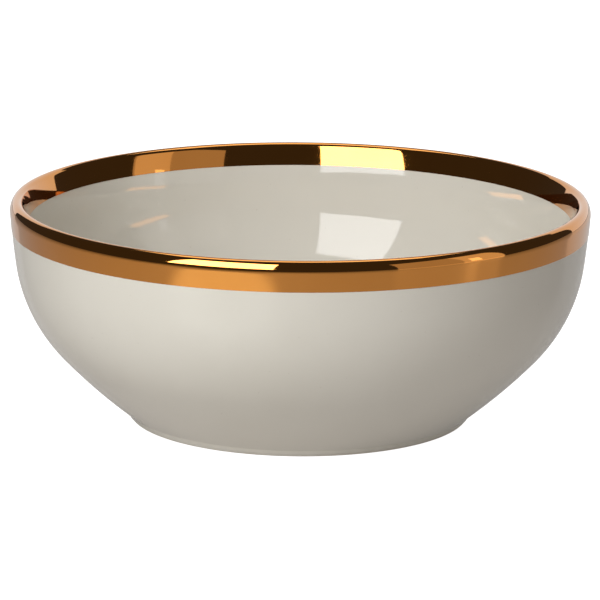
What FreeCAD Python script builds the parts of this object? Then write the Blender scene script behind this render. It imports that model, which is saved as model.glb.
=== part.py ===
import FreeCAD, Part

import math
import os

import Sketcher

# A porcelain serving bowl: a round, free-standing bowl with a rounded lip, a nearly upright rim,
# a tight belly and a straight lower wall that runs down to a low foot ring.
#
# Every piece is a solid of revolution about Z. The origin is the centre of the foot plane and
# +Z points up. From the inside out the pieces are layers that meet face to face: the fired
# porcelain, the glaze coats fused to it, and the gold lustre fired over the glaze at the lip.
#
# The driving dimensions describe the finished surface. A layer under it is reached by its depth:
# the gold's face is at depth 0, the glaze lies under the gold's thickness, and the porcelain
# under both. The layers share their arc centres, so only the radii change with the depth.

DRIVING_DIMENSIONS = {
    # overall, millimetres
    "rim_diameter": 229.0,
    "total_height": 87.5,
    # lip: a small arc over the crest and a fuller one down each side. The outer one meets the
    # crest's at an angle above the horizontal, the inner one at a slope from vertical, in degrees
    "crest_radius": 2.2,
    "outer_lip_radius": 6.0,
    "outer_lip_angle": 35.0,
    "inner_lip_radius": 60.0,
    "inner_lip_slope": 22.0,
    # outer wall: three tangent arcs, whose slopes are the wall's angle from vertical in degrees
    "outer_upper_radius": 323.0,
    "outer_belly_radius": 63.6,
    "outer_lower_radius": 230.0,
    "outer_rim_slope": 3.9,
    "outer_shoulder_slope": 7.5,
    "outer_knuckle_slope": 43.1,
    # inner wall, in the same way; its flared lip rolls straight into the belly
    "inner_belly_radius": 61.0,
    "inner_lower_radius": 235.0,
    "inner_shoulder_slope": 4.0,
    "inner_knuckle_slope": 43.0,
    # foot ring
    "foot_diameter": 135.0,
    "foot_flare": 25.0,
    "foot_hollow_radius": 2.0,
    "foot_inner_diameter": 123.0,
    "foot_edge_round": 1.1,
    "recess_depth": 2.6,
    "recess_corner_radius": 1.2,
    # floor of the bowl
    "floor_height": 8.2,
    "floor_radius": 700.0,
    "well_radius": 34.0,
    # glaze and gold
    "glaze_thickness": 0.3,
    "glaze_line_height": 1.25,
    "gold_thickness": 0.15,
    "gold_depth_outside": 11.6,
    "gold_depth_inside": 8.8,
}

CREST = 90.0
BOTTOM = -90.0
CENTRE = 3
VERTICAL_AXIS = -2


# ---- sizes that follow the spreadsheet ------------------------------------------------------


class Size:
    """A number together with the spreadsheet formula that it comes from."""

    def __init__(self, value, formula):
        self.value = value
        self.formula = formula

    def __add__(self, other):
        return Size(self.value + other.value, f"({self.formula} + {other.formula})")

    def __sub__(self, other):
        return Size(self.value - other.value, f"({self.formula} - {other.formula})")

    def __mul__(self, other):
        return Size(self.value * other.value, f"({self.formula} * {other.formula})")

    def __truediv__(self, other):
        return Size(self.value / other.value, f"({self.formula} / {other.formula})")


def fixed(value):
    return Size(value, str(value))


def cosine(angle):
    return Size(math.cos(math.radians(angle.value)), f"cos({angle.formula})")


def tangent(angle):
    return Size(math.tan(math.radians(angle.value)), f"tan({angle.formula})")


GROUND = fixed(0.0)
HALF = fixed(0.5)
SQUARE = fixed(90.0)
STRAIGHT = fixed(180.0)


def make_sheet(document):
    """Writes the driving dimensions to the sheet, one row each, and returns them as sizes."""
    sheet = document.addObject("Spreadsheet::Sheet", "dims")
    sizes = {}
    for row, (alias, value) in enumerate(DRIVING_DIMENSIONS.items(), start=1):
        sheet.set(f"A{row}", alias)
        sheet.set(f"B{row}", str(value))
        sheet.setAlias(f"B{row}", alias)
        sizes[alias] = Size(value, f"dims.{alias}")
    document.recompute()
    return sizes


# ---- plane geometry: x is the distance from the bowl's axis, y the height ---------------------


def point(x, y):
    return FreeCAD.Vector(x, y, 0.0)


def toward(degrees, distance):
    """The step of a given length at an angle."""
    angle = math.radians(degrees)
    return point(math.cos(angle), math.sin(angle)) * distance


def heading(start, end):
    """The angle of the ray from one point to another."""
    return math.degrees(math.atan2(end.y - start.y, end.x - start.x))


def outer_crossing(centre_a, radius_a, centre_b, radius_b):
    """Where two circles cross, taking the crossing further from the bowl's axis."""
    between = centre_b - centre_a
    distance = between.Length
    along = (distance**2 + radius_a**2 - radius_b**2) / (2 * distance)
    aside = math.sqrt(radius_a**2 - along**2)
    unit = between / distance
    middle = centre_a + unit * along
    step = point(-unit.y, unit.x) * aside
    return max(middle + step, middle - step, key=lambda crossing: crossing.x)


def enter_circle(start, degrees, centre, radius):
    """Where a ray that starts outside a circle enters it."""
    unit = toward(degrees, 1.0)
    offset = start - centre
    along = offset.dot(unit)
    return start - unit * (along + math.sqrt(along**2 - offset.dot(offset) + radius**2))


class Arc:
    """A circular stretch of an outline, drawn from one angle to another about its centre."""

    def __init__(self, centre, radius, start, end, span=None):
        self.centre = centre
        self.radius = radius
        self.start = start
        self.end = end
        self.span = span

    def last_point(self):
        return self.centre + toward(self.end, self.radius.value)


class Wall:
    """One face of the wall: arcs that hang from the lip's side, each tangent to the one above.

    The side is 1 for the outer face, whose arcs shrink with depth, and -1 for the inner face,
    whose arcs grow. Each slope is the wall's own where the arc of the same rank begins.
    """

    def __init__(self, side, lip_side, lip_radius, radii, slopes):
        self.side = fixed(side)
        self.radii = radii
        self.slopes = slopes
        self.centres = []
        centre, radius = lip_side, side * lip_radius.value
        for next_radius, slope in zip(radii, slopes):
            centre = centre + toward(-slope.value, radius - next_radius.value)
            radius = next_radius.value
            self.centres.append(centre)

    def arcs(self, depth, last_turn):
        """The arcs from the lip downwards; the last one ends at an angle."""
        radii = [radius - self.side * depth for radius in self.radii]
        turns = [-slope.value for slope in self.slopes] + [last_turn]
        spans = [below - above for above, below in zip(self.slopes, self.slopes[1:])] + [None]
        return [Arc(*parts) for parts in zip(self.centres, radii, turns, turns[1:], spans)]

    def band(self, depth, height):
        """The part of the first arc from the lip down to a height."""
        radius = self.radii[0] - self.side * depth
        drop = self.centres[0].y - height.value
        turn = -math.degrees(math.asin(drop / radius.value))
        return Arc(self.centres[0], radius, -self.slopes[0].value, turn)


class Section:
    """The bowl's half-section: the arc centres and turning angles that all the layers share."""

    def __init__(self, dims):
        self.dims = dims
        self.place_lip()
        self.outer_wall = Wall(
            1.0, self.outer_side, dims["outer_lip_radius"],
            [dims["outer_upper_radius"], dims["outer_belly_radius"], dims["outer_lower_radius"]],
            [dims["outer_rim_slope"], dims["outer_shoulder_slope"], dims["outer_knuckle_slope"]],
        )
        self.inner_wall = Wall(
            -1.0, self.inner_side, dims["inner_lip_radius"],
            [dims["inner_belly_radius"], dims["inner_lower_radius"]],
            [dims["inner_shoulder_slope"], dims["inner_knuckle_slope"]],
        )
        self.place_foot_hollow()
        self.place_well()

    def place_lip(self):
        """Places the outer arc at the rim and rolls the crest and the inner arc off it."""
        crest_radius = self.dims["crest_radius"]
        outer_radius = self.dims["outer_lip_radius"]
        outer_angle = self.dims["outer_lip_angle"]
        outer_step = outer_radius - crest_radius
        outer_x = self.dims["rim_diameter"] * HALF - outer_radius
        self.crest_x = outer_x + outer_step * cosine(outer_angle)
        self.crest_y = self.dims["total_height"] - crest_radius
        self.crest = point(self.crest_x.value, self.crest_y.value)
        self.outer_side = self.crest - toward(outer_angle.value, outer_step.value)

        inner_step = self.dims["inner_lip_radius"] - crest_radius
        self.inner_turn = 180.0 - self.dims["inner_lip_slope"].value
        self.inner_side = self.crest - toward(self.inner_turn, inner_step.value)

    def place_foot_hollow(self):
        """Rolls the small hollow into the corner between the lower wall and the foot's side."""
        hollow_radius = self.dims["foot_hollow_radius"].value
        flare = self.dims["foot_flare"].value
        foot = point((self.dims["foot_diameter"] * HALF).value, 0.0)
        track = foot + toward(-flare, hollow_radius)
        lower = self.outer_wall.centres[-1]
        reach = self.outer_wall.radii[-1].value + hollow_radius
        self.hollow = enter_circle(track, 90.0 - flare, lower, reach)
        self.foot_turn = heading(lower, self.hollow)

    def place_well(self):
        """Fits the well's arc between the floor and the inner wall."""
        well_radius = self.dims["well_radius"].value
        floor_reach = self.dims["floor_radius"].value - well_radius
        lower = self.inner_wall.centres[-1]
        wall_reach = self.inner_wall.radii[-1].value - well_radius
        self.floor = point(0.0, (self.dims["floor_height"] + self.dims["floor_radius"]).value)
        self.well = outer_crossing(lower, wall_reach, self.floor, floor_reach)
        self.wall_end = heading(lower, self.well)
        self.floor_end = heading(self.floor, self.well)

    def outer_lip(self, depth):
        """The lip from its crest to the outer face: the crest's arc, then the side's."""
        angle = self.dims["outer_lip_angle"]
        rim_slope = self.dims["outer_rim_slope"]
        crest_radius = self.dims["crest_radius"] - depth
        side_radius = self.dims["outer_lip_radius"] - depth
        return [
            Arc(self.crest, crest_radius, CREST, angle.value, SQUARE - angle),
            Arc(self.outer_side, side_radius, angle.value, -rim_slope.value, angle + rim_slope),
        ]

    def inner_crest(self, depth):
        """The crest's arc from the top of the lip to the start of its flared inner side."""
        radius = self.dims["crest_radius"] - depth
        span = SQUARE - self.dims["inner_lip_slope"]
        return Arc(self.crest, radius, CREST, self.inner_turn, span)

    def inner_lip(self, depth):
        """The lip from its crest to the inner face: the crest's arc, then the side's."""
        slope = self.dims["inner_lip_slope"]
        shoulder = self.dims["inner_shoulder_slope"]
        radius = self.dims["inner_lip_radius"] - depth
        end = 180.0 - shoulder.value
        side = Arc(self.inner_side, radius, self.inner_turn, end, slope - shoulder)
        return [self.inner_crest(depth), side]

    def inner_lip_above(self, depth, height):
        """The same lip, cut short at a height on its side."""
        radius = self.dims["inner_lip_radius"] - depth
        rise = height.value - self.inner_side.y
        end = 180.0 - math.degrees(math.asin(rise / radius.value))
        return [self.inner_crest(depth), Arc(self.inner_side, radius, self.inner_turn, end)]

    def outside(self, depth):
        """The outer face, from the crest of the lip to the foot's side."""
        hollow_radius = self.dims["foot_hollow_radius"] + depth
        hollow_end = 180.0 - self.dims["foot_flare"].value
        hollow = Arc(self.hollow, hollow_radius, 180.0 + self.foot_turn, hollow_end)
        return [*self.outer_lip(depth), *self.outer_wall.arcs(depth, self.foot_turn), hollow]

    def inside(self, depth):
        """The inner face, from the crest of the lip to the middle of the floor."""
        well = Arc(self.well, self.dims["well_radius"] + depth, self.wall_end, self.floor_end)
        floor = Arc(self.floor, self.dims["floor_radius"] + depth, self.floor_end, BOTTOM)
        return [*self.inner_lip(depth), *self.inner_wall.arcs(depth, self.wall_end), well, floor]

    def foot_side_x(self, depth, height):
        """How far out the foot's flared side is, for a layer and a height."""
        flare = self.dims["foot_flare"]
        at_ground = self.dims["foot_diameter"] * HALF - depth / cosine(flare)
        return at_ground + height * tangent(flare)


# ---- sketches ------------------------------------------------------------------------------


class Outline:
    """A closed half-section, drawn in the XZ plane of its own body as chains and links."""

    def __init__(self, body, name):
        self.sketch = body.newObject("Sketcher::SketchObject", name)
        planes = [feature for feature in body.Origin.OriginFeatures if feature.Role == "XZ_Plane"]
        self.sketch.AttachmentSupport = (planes[0], [""])
        self.sketch.MapMode = "FlatFace"

    def fix(self, kind, *where):
        return self.sketch.addConstraint(Sketcher.Constraint(kind, *where))

    def bind(self, kind, where, size):
        """Adds a dimension that follows the spreadsheet."""
        datum = math.radians(size.value) if kind == "Angle" else size.value
        index = self.fix(kind, *where, datum)
        name = f"size_{index}"
        self.sketch.renameConstraint(index, name)
        self.sketch.setExpression(f"Constraints.{name}", size.formula)

    def bind_point(self, end, x, y):
        self.bind("DistanceX", end, x)
        self.bind("DistanceY", end, y)

    def draw(self, arc):
        """Draws an arc and returns its index and its first and last vertex."""
        circle = Part.Circle(arc.centre, FreeCAD.Vector(0, 0, 1), arc.radius.value)
        low, high = sorted((math.radians(arc.start), math.radians(arc.end)))
        index = self.sketch.addGeometry(Part.ArcOfCircle(circle, low, high))
        self.bind("Radius", (index,), arc.radius)
        if arc.span:
            self.bind("Angle", (index,), arc.span)
        return (index, 1, 2) if arc.end > arc.start else (index, 2, 1)

    def chain(self, arcs):
        """Draws arcs that run smoothly into each other, and returns the chain's two ends."""
        drawn = [self.draw(arc) for arc in arcs]
        for (index, _, last), (next_index, next_first, _) in zip(drawn, drawn[1:]):
            self.fix("Tangent", index, last, next_index, next_first)
        return drawn[0][:2], (drawn[-1][0], drawn[-1][2])

    def line(self, start, end):
        index = self.sketch.addGeometry(Part.LineSegment(start, end))
        return (index, 1), (index, 2)

    def link(self, end_a, end_b):
        """Draws a straight edge between two ends."""
        start, end = self.line(self.sketch.getPoint(*end_a), self.sketch.getPoint(*end_b))
        self.fix("Coincident", *start, *end_a)
        self.fix("Coincident", *end, *end_b)

    def hang(self, crest, section):
        """Places the lip's first arc: its centre in the lip and its crest straight above."""
        centre = (crest[0], CENTRE)
        self.bind_point(centre, section.crest_x, section.crest_y)
        self.fix("Vertical", *crest, *centre)

    def seat_floor(self, middle, height):
        """Centres the floor's arc on the bowl's axis, with its lowest point at a height."""
        self.fix("PointOnObject", middle[0], CENTRE, VERTICAL_AXIS)
        self.fix("PointOnObject", *middle, VERTICAL_AXIS)
        self.bind("DistanceY", middle, height)


def draw_outside(outline, section, depth, bottom):
    """The outer face of a layer, down to a height on the foot. Returns its two ends."""
    arcs = section.outside(depth)
    crest, hollow_end = outline.chain(arcs)
    outline.hang(crest, section)
    foot_x = section.foot_side_x(depth, bottom)
    side_top, side_bottom = outline.line(arcs[-1].last_point(), point(foot_x.value, bottom.value))
    outline.fix("Tangent", *hollow_end, *side_top)
    outline.bind_point(side_bottom, foot_x, bottom)
    outline.bind("Angle", (side_top[0],), SQUARE - section.dims["foot_flare"] - STRAIGHT)
    return crest, side_bottom


def draw_inside(outline, section, depth):
    """The inner face of a layer, down to the middle of the floor. Returns its two ends."""
    crest, middle = outline.chain(section.inside(depth))
    outline.hang(crest, section)
    outline.seat_floor(middle, section.dims["floor_height"] - depth)
    return crest, middle


def draw_recess(outline, section, depth, bottom):
    """The inside of the foot ring, from a height on its side to the axis. Returns its ends."""
    dims = section.dims
    side_x = dims["foot_inner_diameter"] * HALF + depth
    ceiling = dims["recess_depth"] + depth
    radius = dims["recess_corner_radius"] + depth
    corner_centre = point((side_x - radius).value, (ceiling - radius).value)
    corner = Arc(corner_centre, radius, 0.0, CREST)
    corner_start, corner_end = outline.chain([corner])

    side_bottom, side_top = outline.line(
        point(side_x.value, bottom.value), point(side_x.value, corner_centre.y)
    )
    outline.fix("Vertical", side_bottom[0])
    outline.bind_point(side_bottom, side_x, bottom)
    outline.fix("Tangent", *side_top, *corner_start)

    roof_end, roof_middle = outline.line(corner.last_point(), point(0.0, ceiling.value))
    outline.fix("Tangent", *corner_end, *roof_end)
    outline.fix("Horizontal", roof_end[0])
    outline.bind("DistanceY", roof_middle, ceiling)
    outline.fix("PointOnObject", *roof_middle, VERTICAL_AXIS)
    return side_bottom, roof_middle


def draw_band(outline, section, depth):
    """One face of the gold, from its outer edge over the lip to its inner edge."""
    dims = section.dims
    outer_edge = dims["total_height"] - dims["gold_depth_outside"]
    inner_edge = dims["total_height"] - dims["gold_depth_inside"]
    outer_band = section.outer_wall.band(depth, outer_edge)
    outer_crest, outer_end = outline.chain([*section.outer_lip(depth), outer_band])
    inner_crest, inner_end = outline.chain(section.inner_lip_above(depth, inner_edge))
    outline.hang(outer_crest, section)
    outline.fix("Tangent", *outer_crest, *inner_crest)
    outline.bind("DistanceY", outer_end, outer_edge)
    outline.bind("DistanceY", inner_end, inner_edge)
    return outer_end, inner_end


# ---- pieces --------------------------------------------------------------------------------


def turn(body, outline):
    """Revolves a finished half-section about the bowl's axis."""
    revolution = body.newObject("PartDesign::Revolution", f"{body.Name}_turned")
    revolution.Profile = outline.sketch
    revolution.ReferenceAxis = (outline.sketch, ["V_Axis"])
    revolution.Angle = 360.0
    body.Document.recompute()
    return revolution


def round_foot_edges(body, revolution):
    """Rounds the two edges of the standing face, where the foot meets the table."""
    edges = [
        f"Edge{position}"
        for position, edge in enumerate(revolution.Shape.Edges, start=1)
        if edge.BoundBox.ZMax < 1e-6 and edge.Closed
    ]
    fillet = body.newObject("PartDesign::Fillet", "foot_edges")
    fillet.Base = (revolution, edges)
    fillet.setExpression("Radius", "dims.foot_edge_round")
    body.Document.recompute()


def make_porcelain_body(body, section):
    """The shell and its foot ring, formed and fired as one piece of porcelain."""
    outline = Outline(body, "porcelain_section")
    coat = section.dims["glaze_thickness"]
    depth = coat + section.dims["gold_thickness"]
    outer_crest, outer_foot = draw_outside(outline, section, depth, GROUND)
    inner_crest, inner_middle = outline.chain(section.inside(depth))
    outline.fix("Tangent", *outer_crest, *inner_crest)
    outline.seat_floor(inner_middle, section.dims["floor_height"] - depth)
    inner_foot, under_middle = draw_recess(outline, section, coat, GROUND)
    outline.link(outer_foot, inner_foot)
    outline.link(under_middle, inner_middle)
    round_foot_edges(body, turn(body, outline))


def make_outside_glaze(body, section):
    """The coat on the outer face, from the crest of the lip to the glaze line on the foot."""
    outline = Outline(body, "outside_coat_section")
    edge = section.dims["glaze_line_height"]
    face = section.dims["gold_thickness"]
    crest, foot = draw_outside(outline, section, face, edge)
    under_crest, under_foot = draw_outside(
        outline, section, face + section.dims["glaze_thickness"], edge
    )
    outline.link(crest, under_crest)
    outline.link(foot, under_foot)
    turn(body, outline)


def make_inside_glaze(body, section):
    """The coat on the inner face, from the crest of the lip over the whole floor."""
    outline = Outline(body, "inside_coat_section")
    face = section.dims["gold_thickness"]
    crest, middle = draw_inside(outline, section, face)
    under_crest, under_middle = draw_inside(
        outline, section, face + section.dims["glaze_thickness"]
    )
    outline.link(crest, under_crest)
    outline.link(middle, under_middle)
    turn(body, outline)


def make_base_glaze(body, section):
    """The coat inside the foot ring: the underside of the floor and the ring's inner side."""
    outline = Outline(body, "base_coat_section")
    edge = section.dims["glaze_line_height"]
    foot, middle = draw_recess(outline, section, GROUND, edge)
    under_foot, under_middle = draw_recess(
        outline, section, section.dims["glaze_thickness"], edge
    )
    outline.link(foot, under_foot)
    outline.link(middle, under_middle)
    turn(body, outline)


def make_gold_rim_band(body, section):
    """The gold lustre: one film from the outer face over the lip to the inner face."""
    outline = Outline(body, "gold_section")
    outer_end, inner_end = draw_band(outline, section, GROUND)
    under_outer, under_inner = draw_band(outline, section, section.dims["gold_thickness"])
    outline.link(outer_end, under_outer)
    outline.link(inner_end, under_inner)
    turn(body, outline)


PIECES = {
    "porcelain_body": make_porcelain_body,
    "inside_glaze": make_inside_glaze,
    "outside_glaze": make_outside_glaze,
    "base_glaze": make_base_glaze,
    "gold_rim_band": make_gold_rim_band,
}


def check(document, bodies):
    """Stops if anything failed to build, before a file is written."""
    for item in document.Objects:
        if "Invalid" in item.State or "Error" in item.State:
            raise RuntimeError(f"{item.Label} did not build: {item.State}")
        if item.TypeId == "Sketcher::SketchObject" and not item.FullyConstrained:
            raise RuntimeError(f"{item.Label} is not fully constrained")
    for body in bodies:
        if body.Shape.isNull() or not body.Shape.isValid() or len(body.Shape.Solids) != 1:
            raise RuntimeError(f"{body.Label} is not one valid solid")


def main():
    document = FreeCAD.newDocument("serving_bowl")
    section = Section(make_sheet(document))
    bodies = []
    for name, make_piece in PIECES.items():
        body = document.addObject("PartDesign::Body", name)
        body.Label = name
        body.Placement = FreeCAD.Placement()
        make_piece(body, section)
        bodies.append(body)
    document.recompute()
    check(document, bodies)

    os.makedirs("parts", exist_ok=True)
    for body in bodies:
        body.Shape.exportStep(f"parts/{body.Label}.step")
        box = body.Shape.optimalBoundingBox()
        print(
            f"{body.Label}: {body.Shape.Volume:.1f} mm3, diameter {box.XLength:.2f} mm,"
            f" z {box.ZMin:.2f} to {box.ZMax:.2f} mm"
        )


main()
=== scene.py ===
import math

import bpy
from mathutils import Matrix, Vector


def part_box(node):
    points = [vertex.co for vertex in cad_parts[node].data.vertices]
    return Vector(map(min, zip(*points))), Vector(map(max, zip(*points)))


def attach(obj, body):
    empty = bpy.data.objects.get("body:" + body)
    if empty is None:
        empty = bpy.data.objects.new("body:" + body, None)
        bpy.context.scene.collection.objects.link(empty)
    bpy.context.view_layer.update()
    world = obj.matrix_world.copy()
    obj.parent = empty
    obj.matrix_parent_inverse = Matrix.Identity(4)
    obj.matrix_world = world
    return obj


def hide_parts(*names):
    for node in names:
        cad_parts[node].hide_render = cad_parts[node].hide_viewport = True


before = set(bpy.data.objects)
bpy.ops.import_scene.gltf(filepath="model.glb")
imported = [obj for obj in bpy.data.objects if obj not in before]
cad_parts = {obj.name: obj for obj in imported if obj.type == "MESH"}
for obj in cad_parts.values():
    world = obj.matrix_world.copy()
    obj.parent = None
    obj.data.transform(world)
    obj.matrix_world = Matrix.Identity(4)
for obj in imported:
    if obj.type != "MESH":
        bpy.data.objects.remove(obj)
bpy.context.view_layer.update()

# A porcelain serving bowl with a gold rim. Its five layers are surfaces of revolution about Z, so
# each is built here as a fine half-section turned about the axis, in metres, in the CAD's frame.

MM = 0.001

# ---- the bowl's shape, in millimetres and degrees ----------------------------------------------
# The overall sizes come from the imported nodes. The arcs between them are the wall's own.

RIM_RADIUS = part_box("gold_rim_band")[1].x / MM
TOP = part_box("gold_rim_band")[1].z / MM
GOLD_EDGE_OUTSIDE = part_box("gold_rim_band")[0].z / MM
GLAZE_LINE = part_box("outside_glaze")[0].z / MM
RECESS_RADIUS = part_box("base_glaze")[1].x / MM
GOLD_DEPTH_INSIDE = 8.8
GOLD_EDGE_INSIDE = TOP - GOLD_DEPTH_INSIDE

GOLD_THICKNESS = 0.15
GLAZE_THICKNESS = 0.3
CREST_RADIUS = 2.2
OUTER_LIP_RADIUS = 6.0
OUTER_LIP_ANGLE = 35.0
INNER_LIP_RADIUS = 60.0
INNER_LIP_ANGLE = 22.0
OUTER_WALL = {"radii": (323.0, 63.6, 230.0), "slopes": (3.9, 7.5, 43.1)}
INNER_WALL = {"radii": (61.0, 235.0), "slopes": (4.0, 43.0)}
FOOT_RADIUS = 67.5
FOOT_FLARE = 25.0
FOOT_HOLLOW = 2.0
FOOT_EDGE = 1.1
RECESS_DEPTH = 2.6
RECESS_CORNER = 1.2
FLOOR_HEIGHT = 8.2
FLOOR_RADIUS = 700.0
WELL_RADIUS = 34.0

# How finely the half-sections are cut up: steps about the axis, and the longest chord on an arc.
TURN_STEPS = 256
CHORD = 1.3
FINE_CHORD = 0.2
TIGHT_RADIUS = 10.0
SAME_POINT = 1e-4
ON_AXIS = 1e-6
SHARP_EDGE = 35.0
CEILING_SHARES = (0.75, 0.5, 0.25, 0.0)


def ray(degrees, length=1.0):
    angle = math.radians(degrees)
    return Vector((math.cos(angle), math.sin(angle))) * length


def heading(start, end):
    return math.degrees(math.atan2(end.y - start.y, end.x - start.x))


def arc(centre, radius, start, end):
    """Points along an arc, closer together where it is tight."""
    length = abs(math.radians(end - start)) * radius
    chord = FINE_CHORD if radius < TIGHT_RADIUS else CHORD
    steps = max(2, math.ceil(length / chord))
    return [centre + ray(start + (end - start) * i / steps, radius) for i in range(steps + 1)]


def place_wall(wall, side, lip, lip_radius):
    """Hangs the wall's arcs from the lip, each tangent to the one above."""
    centre, radius = lip, side * lip_radius
    wall["side"] = side
    wall["centres"] = []
    for next_radius, slope in zip(wall["radii"], wall["slopes"]):
        centre = centre + ray(-slope, radius - next_radius)
        radius = next_radius
        wall["centres"].append(centre)


def wall_points(wall, depth, last_turn):
    """The wall's face at a depth under the finished surface, from the lip downwards."""
    turns = [-slope for slope in wall["slopes"]] + [last_turn]
    points = []
    for centre, radius, start, end in zip(wall["centres"], wall["radii"], turns, turns[1:]):
        points += arc(centre, radius - wall["side"] * depth, start, end)
    return points


CREST = Vector((
    RIM_RADIUS - OUTER_LIP_RADIUS + ray(OUTER_LIP_ANGLE, OUTER_LIP_RADIUS - CREST_RADIUS).x,
    TOP - CREST_RADIUS,
))
OUTER_LIP = CREST - ray(OUTER_LIP_ANGLE, OUTER_LIP_RADIUS - CREST_RADIUS)
INNER_LIP = CREST - ray(180.0 - INNER_LIP_ANGLE, INNER_LIP_RADIUS - CREST_RADIUS)
place_wall(OUTER_WALL, 1.0, OUTER_LIP, OUTER_LIP_RADIUS)
place_wall(INNER_WALL, -1.0, INNER_LIP, INNER_LIP_RADIUS)


def outer_lip(depth):
    """The lip from the crest to the top of the outer wall."""
    side_end = -OUTER_WALL["slopes"][0]
    crest = arc(CREST, CREST_RADIUS - depth, 90.0, OUTER_LIP_ANGLE)
    return crest + arc(OUTER_LIP, OUTER_LIP_RADIUS - depth, OUTER_LIP_ANGLE, side_end)


def inner_lip(depth, last_turn):
    """The lip from the crest down its flared inner side, to a turn given in degrees."""
    side_start = 180.0 - INNER_LIP_ANGLE
    crest = arc(CREST, CREST_RADIUS - depth, 90.0, side_start)
    return crest + arc(INNER_LIP, INNER_LIP_RADIUS - depth, side_start, last_turn)


def foot_side(depth, height):
    """A point on the foot's sloping outer side."""
    flare = math.radians(FOOT_FLARE)
    return Vector((FOOT_RADIUS - depth / math.cos(flare) + height * math.tan(flare), height))


def outside(depth, bottom):
    """The outer face from the crest to a height on the foot."""
    lower_centre = OUTER_WALL["centres"][-1]
    track = Vector((FOOT_RADIUS, 0.0)) + ray(-FOOT_FLARE, FOOT_HOLLOW)
    unit = ray(90.0 - FOOT_FLARE)
    offset = track - lower_centre
    along = offset.dot(unit)
    reach = OUTER_WALL["radii"][-1] + FOOT_HOLLOW
    hollow = track - unit * (along + math.sqrt(along**2 - offset.dot(offset) + reach**2))
    turn = heading(lower_centre, hollow)
    points = outer_lip(depth) + wall_points(OUTER_WALL, depth, turn)
    points += arc(hollow, FOOT_HOLLOW + depth, 180.0 + turn, 180.0 - FOOT_FLARE)
    return points + [foot_side(depth, bottom)]


def inside(depth):
    """The inner face from the crest to the middle of the floor."""
    lower_centre = INNER_WALL["centres"][-1]
    floor_centre = Vector((0.0, FLOOR_HEIGHT + FLOOR_RADIUS))
    wall_reach = INNER_WALL["radii"][-1] - WELL_RADIUS
    floor_reach = FLOOR_RADIUS - WELL_RADIUS
    between = floor_centre - lower_centre
    distance = between.length
    along = (distance**2 + wall_reach**2 - floor_reach**2) / (2 * distance)
    aside = math.sqrt(wall_reach**2 - along**2)
    unit = between / distance
    middle = lower_centre + unit * along
    step = Vector((-unit.y, unit.x)) * aside
    well = max(middle + step, middle - step, key=lambda crossing: crossing.x)
    wall_end = heading(lower_centre, well)
    floor_end = heading(floor_centre, well)
    points = inner_lip(depth, 180.0 - INNER_WALL["slopes"][0])
    points += wall_points(INNER_WALL, depth, wall_end)
    points += arc(well, WELL_RADIUS + depth, wall_end, floor_end)
    return points + arc(floor_centre, FLOOR_RADIUS + depth, floor_end, -90.0)


def recess(depth, bottom):
    """The inside of the foot ring from a height on its side to the axis."""
    side = RECESS_RADIUS + depth
    corner = RECESS_CORNER + depth
    ceiling = RECESS_DEPTH + depth
    points = [Vector((side, bottom))]
    points += arc(Vector((side - corner, ceiling - corner)), corner, 0.0, 90.0)
    return points + [Vector((side * share, ceiling)) for share in CEILING_SHARES]


def rounded(before, corner, after, radius):
    """A corner of an outline replaced by an arc tangent to both of its sides."""
    toward_before = (before - corner).normalized()
    toward_after = (after - corner).normalized()
    half = toward_before.angle(toward_after) / 2
    start = corner + toward_before * (radius / math.tan(half))
    end = corner + toward_after * (radius / math.tan(half))
    centre = corner + (toward_before + toward_after).normalized() * (radius / math.sin(half))
    first, last = heading(centre, start), heading(centre, end)
    turn = (last - first + 180.0) % 360.0 - 180.0
    return arc(centre, radius, first, first + turn)


# ---- the outlines of the five layers ----------------------------------------------------------


def body_outline():
    """The porcelain, from the floor's top over the lip and the foot to the floor's underside."""
    depth = GOLD_THICKNESS + GLAZE_THICKNESS
    outer = outside(depth, 0.0)
    under = recess(GLAZE_THICKNESS, 0.0)
    foot_outer = rounded(outer[-2], outer[-1], under[0], FOOT_EDGE)
    foot_inner = rounded(outer[-1], under[0], under[1], FOOT_EDGE)
    return inside(depth)[::-1] + outer[1:-1] + foot_outer + foot_inner + under[1:]


def inside_outline():
    return inside(GOLD_THICKNESS + GLAZE_THICKNESS)[::-1] + inside(GOLD_THICKNESS)


def outside_outline():
    face = outside(GOLD_THICKNESS, GLAZE_LINE)
    back = outside(GOLD_THICKNESS + GLAZE_THICKNESS, GLAZE_LINE)
    return face + back[::-1] + face[:1]


def base_outline():
    return recess(0.0, GLAZE_LINE)[::-1] + recess(GLAZE_THICKNESS, GLAZE_LINE)


def gold_face(depth):
    """One face of the gold film, from its inner edge over the crest to its outer edge."""
    inner_rise = (GOLD_EDGE_INSIDE - INNER_LIP.y) / (INNER_LIP_RADIUS - depth)
    inner = inner_lip(depth, 180.0 - math.degrees(math.asin(inner_rise)))
    wall_centre, wall_radius = OUTER_WALL["centres"][0], OUTER_WALL["radii"][0] - depth
    outer_drop = (wall_centre.y - GOLD_EDGE_OUTSIDE) / wall_radius
    outer_end = -math.degrees(math.asin(outer_drop))
    outer = outer_lip(depth) + arc(wall_centre, wall_radius, -OUTER_WALL["slopes"][0], outer_end)
    return inner[::-1] + outer[1:]


def gold_outline():
    face = gold_face(0.0)
    return face + gold_face(GOLD_THICKNESS)[::-1] + face[:1]


# ---- meshes ------------------------------------------------------------------------------------


def without_repeats(points):
    kept = [points[0]]
    for point in points[1:]:
        if (point - kept[-1]).length > SAME_POINT:
            kept.append(point)
    return kept


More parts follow.
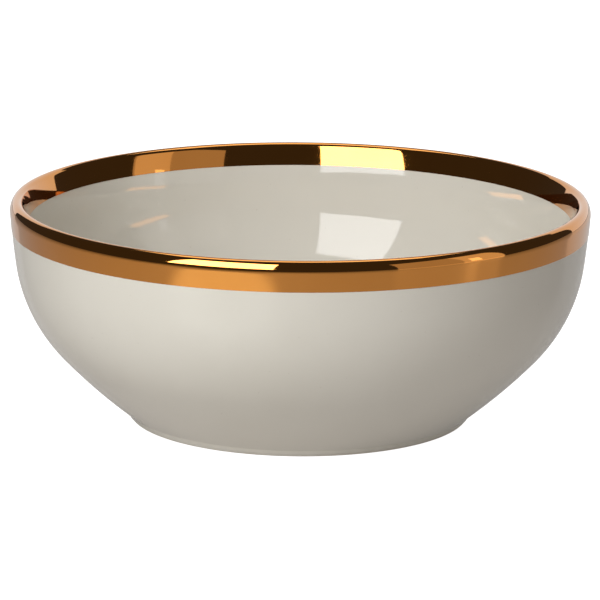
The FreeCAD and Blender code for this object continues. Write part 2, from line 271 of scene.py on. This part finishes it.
def turned_mesh(name, outline):
    """Revolves a half-section about Z. A point on the axis becomes a single vertex."""
    points = without_repeats(outline)
    closed = (points[0] - points[-1]).length < SAME_POINT
    if closed:
        points = points[:-1]
    vertices, rings = [], []
    for point in points:
        radius, height = point.x * MM, point.y * MM
        if point.x < ON_AXIS:
            rings.append([len(vertices)] * TURN_STEPS)
            vertices.append((0.0, 0.0, height))
            continue
        rings.append(list(range(len(vertices), len(vertices) + TURN_STEPS)))
        for step in range(TURN_STEPS):
            angle = 2 * math.pi * step / TURN_STEPS
            vertices.append((radius * math.cos(angle), radius * math.sin(angle), height))
    if closed:
        rings.append(rings[0])
    faces = []
    for upper, lower in zip(rings, rings[1:]):
        for step in range(TURN_STEPS):
            after = (step + 1) % TURN_STEPS
            corners = (upper[step], lower[step], lower[after], upper[after])
            faces.append(tuple(dict.fromkeys(corners)))
    mesh = bpy.data.meshes.new(name)
    mesh.from_pydata(vertices, [], faces)
    mesh.validate()
    mesh.shade_smooth()
    mesh.set_sharp_from_angle(angle=math.radians(SHARP_EDGE))
    return mesh


def place(name, data):
    """A new object in the scene with this mesh, light or camera."""
    thing = bpy.data.objects.new(name, data)
    bpy.context.scene.collection.objects.link(thing)
    return thing


def make_piece(name, node, outline, material):
    """One layer of the bowl in place of its CAD node."""
    mesh = turned_mesh(name, outline)
    mesh.materials.append(material)
    piece = place(name, mesh)
    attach(piece, "root")
    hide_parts(node)


# ---- materials ---------------------------------------------------------------------------------
# Colours are pairs that a slow cloud of noise drifts between. Bump distances are in metres.

GLAZE_COLOURS = ((0.780, 0.748, 0.665), (0.810, 0.780, 0.700))
SPECK_COLOUR = (0.42, 0.36, 0.28)
SPECK_STRENGTH = 0.25
GLAZE_IOR = 1.5
GLAZE_ROUGHNESS = (0.03, 0.07)
GLAZE_WAVE = 0.00006
ORANGE_PEEL = 0.000002

GOLD_COLOURS = ((0.77, 0.302, 0.046), (0.81, 0.328, 0.056))
GOLD_COAT = 0.7
GOLD_COAT_ROUGHNESS = 0.03
GOLD_ROUGHNESS = (0.02, 0.06)
GOLD_WAVE = 0.00003
BRUSH_MARK = 0.0000006
RING_STRETCH = (0.5, 0.5, 6.0)

BARE_COLOURS = ((0.70, 0.66, 0.58), (0.78, 0.75, 0.68))
BARE_ROUGHNESS = (0.7, 0.9)
TOOTH = 0.00003
TOOTH_STRENGTH = 0.8

WHOLE = (0.0, 1.0)
MIDDLE = (0.3, 0.7)
NARROW_MIDDLE = (0.35, 0.65)
PEAKS = (0.77, 0.82)


class Surface:
    """A principled material with a short way to add and join nodes."""

    def __init__(self, name):
        self.material = bpy.data.materials.new(name)
        self.material.use_nodes = True
        self.tree = self.material.node_tree
        self.shader = self.tree.nodes["Principled BSDF"]
        self.position = self.add("ShaderNodeTexCoord").outputs["Object"]

    def add(self, kind, **settings):
        node = self.tree.nodes.new(kind)
        for key, value in settings.items():
            setattr(node, key, value)
        return node

    def join(self, output, target):
        self.tree.links.new(output, target)

    def stretched(self, scale):
        """Object coordinates scaled along each axis."""
        mapping = self.add("ShaderNodeMapping")
        mapping.inputs["Scale"].default_value = scale
        self.join(self.position, mapping.inputs["Vector"])
        return mapping.outputs["Vector"]

    def noise(self, scale, detail=2.0, roughness=0.5, vector=None):
        node = self.add("ShaderNodeTexNoise")
        node.inputs["Scale"].default_value = scale
        node.inputs["Detail"].default_value = detail
        node.inputs["Roughness"].default_value = roughness
        self.join(vector or self.position, node.inputs["Vector"])
        return node.outputs["Fac"]

    def between(self, value, old_range, new_range):
        """Maps a value from one range to another."""
        node = self.add("ShaderNodeMapRange")
        limits = zip(("From Min", "From Max", "To Min", "To Max"), (*old_range, *new_range))
        for key, number in limits:
            node.inputs[key].default_value = number
        self.join(value, node.inputs["Value"])
        return node.outputs["Result"]

    def blend(self, share, first, second):
        """Mixes two colours by a value."""
        node = self.add("ShaderNodeMix", data_type="RGBA")
        self.join(share, node.inputs["Factor"])
        for socket, colour in ((node.inputs["A"], first), (node.inputs["B"], second)):
            if isinstance(colour, tuple):
                socket.default_value = (*colour, 1.0)
            else:
                self.join(colour, socket)
        return node.outputs["Result"]

    def bump(self, height, distance, strength=1.0, under=None):
        """A bumped normal, on top of another one if that is given."""
        node = self.add("ShaderNodeBump")
        node.inputs["Strength"].default_value = strength
        node.inputs["Distance"].default_value = distance
        self.join(height, node.inputs["Height"])
        if under:
            self.join(under, node.inputs["Normal"])
        return node.outputs["Normal"]


def ivory_glaze():
    """Clear gloss glaze over warm ivory porcelain, with a faint orange peel and iron specks."""
    surface = Surface("ivory_glaze_look")
    shader = surface.shader
    shader.inputs["IOR"].default_value = GLAZE_IOR
    cloud = surface.between(surface.noise(scale=14.0, detail=3.0), NARROW_MIDDLE, WHOLE)
    base = surface.blend(cloud, *GLAZE_COLOURS)
    specks = surface.noise(scale=900.0, detail=1.0)
    specks = surface.between(specks, PEAKS, (0.0, SPECK_STRENGTH))
    surface.join(surface.blend(specks, base, SPECK_COLOUR), shader.inputs["Base Color"])
    gloss = surface.between(surface.noise(scale=60.0, detail=4.0), MIDDLE, GLAZE_ROUGHNESS)
    surface.join(gloss, shader.inputs["Roughness"])
    slow = surface.bump(surface.noise(scale=45.0, detail=1.0), GLAZE_WAVE)
    peel = surface.bump(surface.noise(scale=420.0, detail=2.0), ORANGE_PEEL, under=slow)
    surface.join(peel, shader.inputs["Normal"])
    return surface.material


def gold_lustre():
    """Mirror gold fired over the glaze: brushed on round the rim, so it has faint ring marks."""
    surface = Surface("gold_lustre_look")
    shader = surface.shader
    shader.inputs["Metallic"].default_value = 1.0
    shader.inputs["Coat Weight"].default_value = GOLD_COAT
    shader.inputs["Coat Roughness"].default_value = GOLD_COAT_ROUGHNESS
    cloud = surface.between(surface.noise(scale=30.0, detail=3.0), NARROW_MIDDLE, WHOLE)
    surface.join(surface.blend(cloud, *GOLD_COLOURS), shader.inputs["Base Color"])
    rings = surface.stretched(RING_STRETCH)
    brushed = surface.noise(scale=60.0, detail=3.0, roughness=0.6, vector=rings)
    gloss = surface.between(brushed, MIDDLE, GOLD_ROUGHNESS)
    surface.join(gloss, shader.inputs["Roughness"])
    slow = surface.bump(surface.noise(scale=45.0, detail=1.0), GOLD_WAVE)
    marks = surface.bump(brushed, BRUSH_MARK, under=slow)
    surface.join(marks, shader.inputs["Normal"])
    return surface.material


def bare_porcelain():
    """Unglazed fired porcelain on the foot's standing face, with a fine tooth."""
    surface = Surface("bare_porcelain_look")
    shader = surface.shader
    cloud = surface.between(surface.noise(scale=120.0, detail=4.0), MIDDLE, WHOLE)
    surface.join(surface.blend(cloud, *BARE_COLOURS), shader.inputs["Base Color"])
    grain = surface.noise(scale=2600.0, detail=3.0, roughness=0.7)
    surface.join(surface.between(grain, MIDDLE, BARE_ROUGHNESS), shader.inputs["Roughness"])
    surface.join(surface.bump(grain, TOOTH, TOOTH_STRENGTH), shader.inputs["Normal"])
    return surface.material


# ---- studio ------------------------------------------------------------------------------------
# Lengths are in metres. A panel's radiance is the brightness that a mirror shows it with.

WHITE = (1.0, 1.0, 1.0)
WARM_WHITE = (1.0, 0.95, 0.92)
WARMER_WHITE = (1.0, 0.93, 0.88)
COOL_WHITE = (0.90, 1.0, 0.90)
AMBIENT = (0.040, 0.037, 0.032)

TABLE_HALF_WIDTH = 6.0
TABLE_DROP = 0.0002
TABLE_COLOUR = (0.54, 0.51, 0.49)
TABLE_ROUGHNESS = 0.22
TABLE_SPECULAR = 0.4
TABLE_GLOW_ON_BOWL = 0.14
TABLE_GLOW_IN_VIEW = 1.0

CAMERA_PLACE = (0.00014, -1.7369, 0.4582)
CAMERA_SENSOR = 36.0
CAMERA_LENS = 270.0
CAMERA_REACH = 50.0
CAMERA_DOWN = 13.348
CAMERA_ROLL = 0.45


def make_floor():
    """A plain pale floor. It is white to the camera, and gives the bowl only a dim glow."""
    mesh = bpy.data.meshes.new("studio_floor")
    half = TABLE_HALF_WIDTH
    corners = [(-half, -half, 0), (half, -half, 0), (half, half, 0), (-half, half, 0)]
    mesh.from_pydata(corners, [], [(0, 1, 2, 3)])
    surface = Surface("studio_floor_look")
    shader = surface.shader
    shader.inputs["Base Color"].default_value = (*TABLE_COLOUR, 1.0)
    shader.inputs["Roughness"].default_value = TABLE_ROUGHNESS
    shader.inputs["Specular IOR Level"].default_value = TABLE_SPECULAR
    shader.inputs["Emission Color"].default_value = (*WHITE, 1.0)
    seen = surface.add("ShaderNodeLightPath").outputs["Is Camera Ray"]
    glow = surface.between(seen, WHOLE, (TABLE_GLOW_ON_BOWL, TABLE_GLOW_IN_VIEW))
    surface.join(glow, shader.inputs["Emission Strength"])
    mesh.materials.append(surface.material)
    floor = place("studio_floor", mesh)
    floor.location.z = -TABLE_DROP


def make_panel(name, width, depth, radiance, colour=WHITE):
    """A rectangular light that faces down until it is turned."""
    light = bpy.data.lights.new(name, "AREA")
    light.shape = "RECTANGLE"
    light.size = width
    light.size_y = depth
    light.energy = radiance * math.pi * width * depth
    light.color = colour
    lamp = place(name, light)
    lamp.visible_camera = False
    return lamp


def make_upright(name, azimuth, distance, width, low, high, radiance, colour=WHITE):
    """An upright panel that faces the bowl's axis. Azimuth 0 is the camera's side."""
    lamp = make_panel(name, width, high - low, radiance, colour)
    angle = math.radians(azimuth)
    lamp.location = (distance * math.sin(angle), -distance * math.cos(angle), (low + high) / 2)
    lamp.rotation_euler = (math.radians(90.0), 0.0, angle)


def make_table_spot(location, target, radius, energy):
    """A soft pool of light on the table in front of the bowl, which the gold band mirrors."""
    light = bpy.data.lights.new("table_spot", "SPOT")
    light.energy = energy
    light.color = COOL_WHITE
    light.shadow_soft_size = 0.01
    light.spot_blend = 0.6
    aim = Vector(target) - Vector(location)
    light.spot_size = 2 * math.atan(radius / aim.length)
    lamp = place("table_spot", light)
    lamp.location = location
    lamp.rotation_euler = aim.to_track_quat("-Z", "Y").to_euler()
    lamp.visible_camera = False


def make_studio():
    """The lights, placed where the gold and the glaze mirror them in the photograph."""
    world = bpy.data.worlds.new("studio")
    world.use_nodes = True
    background = world.node_tree.nodes["Background"]
    background.inputs["Color"].default_value = (*AMBIENT, 1.0)
    background.inputs["Strength"].default_value = 1.0
    bpy.context.scene.world = world
    make_upright("key_softbox", azimuth=-29.5, distance=0.80, width=0.58,
                 low=0.27, high=0.95, radiance=6.1)
    make_upright("fill_reflector", azimuth=59.0, distance=1.00, width=0.85,
                 low=0.0, high=0.75, radiance=0.40, colour=WARMER_WHITE)
    make_upright("fill_panel", azimuth=72.0, distance=0.97, width=0.32,
                 low=0.0, high=0.75, radiance=0.28, colour=WARM_WHITE)
    make_upright("fill_glint", azimuth=68.0, distance=0.95, width=0.08,
                 low=0.10, high=0.36, radiance=0.9)
    make_upright("backdrop_light", azimuth=171.0, distance=1.60, width=2.78,
                 low=0.02, high=1.2, radiance=0.75)
    overhead = make_panel("overhead_panel", width=1.10, depth=0.75, radiance=1.5)
    overhead.location = (0.0, 0.45, 1.30)
    make_table_spot(location=(-0.36, -0.62, 0.50), target=(-0.135, -0.280, 0.0),
                    radius=0.10, energy=20.0)


def make_camera():
    """The camera at the photograph's angle, from in front and a little above."""
    data = bpy.data.cameras.new("camera")
    data.sensor_width = CAMERA_SENSOR
    data.lens = CAMERA_LENS
    data.clip_end = CAMERA_REACH
    camera = place("camera", data)
    tilt = Matrix.Rotation(math.radians(90.0 - CAMERA_DOWN), 4, "X")
    roll = Matrix.Rotation(math.radians(CAMERA_ROLL), 4, "Z")
    camera.matrix_world = Matrix.Translation(CAMERA_PLACE) @ tilt @ roll
    bpy.context.scene.camera = camera


def main():
    glaze = ivory_glaze()
    gold = gold_lustre()
    bare = bare_porcelain()
    make_piece("porcelain", "porcelain_body", body_outline(), bare)
    make_piece("inside_coat", "inside_glaze", inside_outline(), glaze)
    make_piece("outside_coat", "outside_glaze", outside_outline(), glaze)
    make_piece("base_coat", "base_glaze", base_outline(), glaze)
    make_piece("gold_band", "gold_rim_band", gold_outline(), gold)
    make_floor()
    make_studio()
    make_camera()
    bpy.context.scene.view_settings.view_transform = "Standard"


main()
